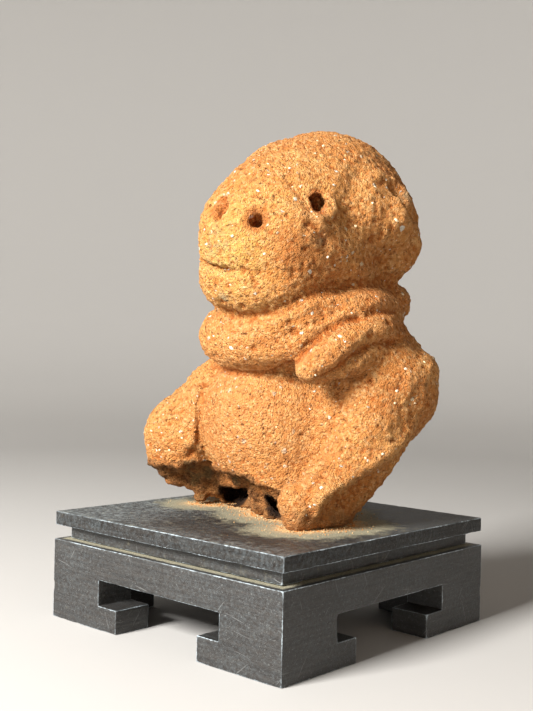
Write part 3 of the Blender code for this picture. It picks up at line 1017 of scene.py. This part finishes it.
def woodMaterial(name, gloss=0.6, scuffed=0.24):
    # Black stained wood: brown-black in the body, rubbed grey and finely scratched, pale along worn edges,
    # with a painted bluish sheen on the plate's top towards the left
    mat, tree, inputs, where = newMaterial(name, gloss=gloss)
    worn, sheenAndRub, dirt, rust = (attributeValue(tree, key) for key in ("worn", "sheenAndRub", "dust", "rust"))
    normal = put(tree, "NewGeometry").outputs["Normal"]
    face = useGroup(tree, flatGroup, {"Vector": where, "Normal": normal})["Vector"]
    along = put(tree, "Mapping", {"Vector": face, "Scale": (0.05, 1, 1)}).outputs[0]
    grain = noise(tree, along, 700, 5, 0.65)
    mottle = noise(tree, where, 560, 6, 0.75)
    broad = noise(tree, where, 26, 3, 0.6)
    speck = noise(tree, where, 1300, 2, 0.6)
    ragged = noise(tree, where, 600, 5, 0.75)
    rubbed = times(tree, remap(tree, mottle, 0.36, 0.70), remap(tree, broad, 0.32, 0.64, 0.45, 1))
    sheenAndScuff = times(tree, remap(tree, noise(tree, where, 420, 6, 0.8), 0.40, 0.72), sheenAndRub)
    scratch = useGroup(tree, scratchGroup, {"Vector": face, "Lines per metre": 800})["Mask"]
    patchy = remap(tree, noise(tree, where, 70, 3, 0.6), 0.36, 0.62, 0.15, 1)
    bare = remap(tree, maths(tree, "MULTIPLY_ADD", worn, 0.62, ragged), 0.88, 1.12)
    dust = useGroup(tree, dustGroup, {"Vector": where, "Dust": dirt, "Patch per metre": 210})
    dusty = blendColour(tree, dust["Speck"], (0.20, 0.185, 0.125), (0.48, 0.43, 0.305))
    dusty = blendColour(tree, rust, dusty, (0.72, 0.43, 0.18))
    colour = blendColour(tree, remap(tree, grain, 0.35, 0.7), (0.008, 0.006, 0.005), (0.024, 0.020, 0.017))
    colour = coated(tree, colour, [
        (times(tree, rubbed, scuffed), (0.135, 0.168, 0.182)),
        (remap(tree, speck, 0.60, 0.72, 0, 0.30), (0.24, 0.25, 0.24)),
        # painted sheen: pale bluish reflection in scuffy patches on the plate's top, with rubbing along its
        # front edge
        (times(tree, sheenAndScuff, 0.50), (0.40, 0.46, 0.48)),
        (times(tree, scratch, 0.16), (0.34, 0.35, 0.34)),
        (times(tree, bare, patchy), (0.36, 0.42, 0.46)),
        (dust["Mask"], dusty)])
    tree.links.new(colour, inputs["Base Color"])
    rough = maths(tree, "MULTIPLY_ADD", mottle, 0.35, 0.33)
    tree.links.new(maths(tree, "MULTIPLY_ADD", dust["Mask"], 0.45, rough), inputs["Roughness"])
    height = maths(tree, "MULTIPLY_ADD", scratch, -0.5, maths(tree, "MULTIPLY_ADD", grain, 1, mottle))
    height = maths(tree, "MULTIPLY_ADD", dust["Mask"], 0.6, height)
    bump = put(tree, "Bump", {"Height": height, "Strength": 0.8, "Distance": 0.3 * mm})
    tree.links.new(bump.outputs["Normal"], inputs["Normal"])
    return mat


def behindEdge(points):
    # How far each point lies behind the dust's front edge, seen from above
    front = np.array(stand["dustFront"]) * mm
    return points[:, 1] - np.interp(points[:, 0], front[:, 0], front[:, 1])


def plateDust(points, normals):
    # Khaki dust round the figure's foot, lying thicker behind its front edge, on the upper side only
    behind = eased(behindEdge(points), -1.5 * mm, 4 * mm)
    near = np.exp(-(footGap(points) / stand["dustReach"]) ** 2)
    return (0.92 * behind * near + 0.10) * eased(normals[:, 2], 0.5, 0.9)


def ledgeDust(points, normals):
    # Dust banked on the ledge against the waist, thinning outwards, and a little on the waist's sides
    low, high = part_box("stand_waist")
    reach = np.max(np.abs(points[:, :2]), axis=1) - high.x
    ledge = eased(points[:, 2], low.z - 2 * mm, low.z - 1 * mm)
    banked = (1 - eased(reach, 1.0 * mm, 5.0 * mm)) * eased(normals[:, 2], 0.5, 0.9)
    return ledge * (0.54 * banked + 0.07 * (1 - eased(np.abs(normals[:, 2]), 0.3, 0.7)))


def makeBoard(name, node, mat, dust, seed):
    # A plain board that fills the box of its solid
    low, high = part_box(node)
    lines = [fineLines([low[axis], high[axis]]) for axis in range(3)]
    points, faces = blockSkin(lines, np.ones([len(line) - 1 for line in lines], bool))
    return settle(wearBoard(name, points, faces, mat, dust, seed), [node])


def makeApron():
    # A square frame of boards with a cut-out in each side: a wide slot above a narrower one between toes
    half, _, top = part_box("stand_apron_front")[1]
    toeTop, slotTop = stand["toeHeight"], stand["openingHeight"]
    foot = half - stand["footWidth"]
    toe = foot - stand["toeReach"]
    inner = half - stand["board"]
    flat = [-half, -inner, -foot, -toe, toe, foot, inner, half]
    lines = [fineLines(flat), fineLines(flat), fineLines([0, toeTop, slotTop, top])]
    x, y, z = cellMiddles(lines)
    filled = (np.abs(x) > inner) | (np.abs(y) > inner)
    for across in (x, y):
        wide = (np.abs(across) < foot) & (z < slotTop) & (z > toeTop)
        filled &= ~(wide | (np.abs(across) < toe) & (z < toeTop))
    points, faces = blockSkin(lines, filled)
    piece = wearBoard("apron", points, faces, woodMaterial("apronWood"), ledgeDust, 71)
    boards = ["stand_apron_" + side for side in ("front", "right", "back", "left")]
    return settle(piece, boards)


def scattered(name, spots, sizes, turns, mat):
    # One small ball copied to every spot, resized, squashed and turned there
    ball = bmesh.new()
    bmesh.ops.create_icosphere(ball, subdivisions=1, radius=1)
    shape = np.array([corner.co for corner in ball.verts])
    sides = np.array([[corner.index for corner in face.verts] for face in ball.faces])
    ball.free()
    corners = np.einsum("nij,kj->nki", turns, shape) * sizes[:, None, None] + spots[:, None]
    faces = (sides[None] + (np.arange(len(spots)) * len(shape))[:, None, None]).reshape(-1, 3)
    mesh = bpy.data.meshes.new(name)
    mesh.from_pydata(insideBox(corners.reshape(-1, 3)), [], faces)
    mesh.materials.append(mat)
    return settle(bpy.data.objects.new(name, mesh), [])


def looseGrit():
    # Crumbs fallen round the foot, mostly fine, none in front of the dust
    mat = mottledMaterial("crumbs", 0.95, 350, (0.52, 0.21, 0.055), (0.50, 0.37, 0.20))
    chance = np.random.default_rng(7)
    count = stand["crumbs"]
    home = footprint[chance.integers(0, len(footprint), count)]
    near, far = stand["crumbSpread"]
    away = chance.normal(0, 1, (count, 2)) * (near + far * chance.random(count)[:, None] ** 3) * mm
    least, more = stand["crumbSize"]
    size = (least + more * chance.random(count) ** 5) * mm
    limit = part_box("stand_top")[1].x - 1 * mm
    spot = np.clip(home + away, -limit, limit)
    keep = behindEdge(spot) > -3 * mm
    spot, size = spot[keep], size[keep]
    spots = np.column_stack([spot, plateTop + 0.7 * size])
    turns = chance.normal(0, 1, (len(spot), 3, 3)) * 0.2 + np.eye(3)
    return scattered("looseGrit", spots, size, turns, mat)


quartz = {
    "shape": (1.0, 0.55, 0.6),
    "size": 0.7,              # radius as a share of the length seen
    "sunk": 0.3,              # share of that radius
}


def quartzChips():
    # Pale chips of stone set in the clay where the picture shows them, each sunk in a little past its middle
    mat = mottledMaterial("quartz", 0.6, 90, (0.80, 0.72, 0.56), (0.74, 0.58, 0.36))
    points, _ = meshArrays(figurePiece.data)
    skin = rayTree(figurePiece.data, points)
    spots = np.array([seenPoint(skin, chip[:2]) for chip in chips])
    sizes = np.array([quartz["size"] * chip[2] * mm for chip in chips])
    spots += np.array(viewAxes()[2]) * quartz["sunk"] * sizes[:, None]
    angles = np.random.default_rng(9).uniform(0, 3, len(chips))
    turns = np.array([Matrix.Rotation(angle, 3, (1, 1, 0.4)) for angle in angles])
    return scattered("quartzChips", spots, sizes, turns @ np.diag(quartz["shape"]), mat)


makeBoard("topPlate", "stand_top", woodMaterial("plateWood", 0.25, 0.30), plateDust, 51)
makeBoard("waistBoard", "stand_waist", woodMaterial("waistWood"), ledgeDust, 61)
makeApron()
looseGrit()
quartzChips()
print("stand made")

# Stage and light

stage = {
    "floor": (0.44, 0.43, 0.415, 1),
    "reach": (0.0001, 0.3, 0.6, 0.9, 1.1, 1.25, 1.33, 1.36, 1.37),     # metres from the middle
    "rise": (0, 0, 0, 0, 0.02, 0.08, 0.2, 0.5, 1.4),                   # metres, height there
    "sky": (1.0, 0.84, 0.68, 1),
    "skyStrength": 0.06,
    "aim": (0, 0, 0.12),
    "lights": [("window", (-0.08, -1.09, 0.72), (0.42, 0.36), 52, (1.0, 0.98, 0.95)),
               ("fill", (0.9, -0.35, 0.35), (0.8, 0.8), 0.8, (1.0, 0.60, 0.30))],   # place, size, watts
}


def makeStage():
    # A round floor that curves up into a low wall: distance from the middle gives the height
    turns = np.linspace(0, 2 * math.pi, 97)[:-1]
    reach, rise = stage["reach"], stage["rise"]
    points = np.stack([np.outer(reach, np.cos(turns)), np.outer(reach, np.sin(turns)),
                       np.outer(rise, np.ones_like(turns))], axis=-1).reshape(-1, 3)
    wide = len(turns)
    row, column = np.meshgrid(np.arange(len(reach) - 1), np.arange(wide), indexing="ij")
    right = (column + 1) % wide
    faces = np.stack([row * wide + column, (row + 1) * wide + column, (row + 1) * wide + right,
                      row * wide + right], axis=-1).reshape(-1, 4)
    mesh = bpy.data.meshes.new("paleFloor")
    mesh.from_pydata(points, [], faces)
    mesh.shade_smooth()
    mat, _, inputs, _ = newMaterial("palePaper", 0.9)
    inputs["Base Color"].default_value = stage["floor"]
    mesh.materials.append(mat)
    floor = bpy.data.objects.new("paleFloor", mesh)
    bpy.context.scene.collection.objects.link(floor)


def softLight(name, place, size, power, colour):
    light = bpy.data.lights.new(name, "AREA")
    light.shape = "RECTANGLE"
    light.size, light.size_y = size
    light.energy = power
    light.color = colour
    lamp = bpy.data.objects.new(name, light)
    away = Vector(place) - Vector(stage["aim"])
    lamp.matrix_world = Matrix.Translation(place) @ away.to_track_quat("Z", "Y").to_matrix().to_4x4()
    bpy.context.scene.collection.objects.link(lamp)


def lightScene():
    world = bpy.data.worlds.new("studio")
    world.use_nodes = True
    sky = world.node_tree.nodes["Background"].inputs
    sky["Color"].default_value = stage["sky"]
    sky["Strength"].default_value = stage["skyStrength"]
    bpy.context.scene.world = world
    for light in stage["lights"]:
        softLight(*light)
    bpy.context.scene.view_settings.view_transform = "Standard"


makeStage()
lightScene()
print("stage lit")
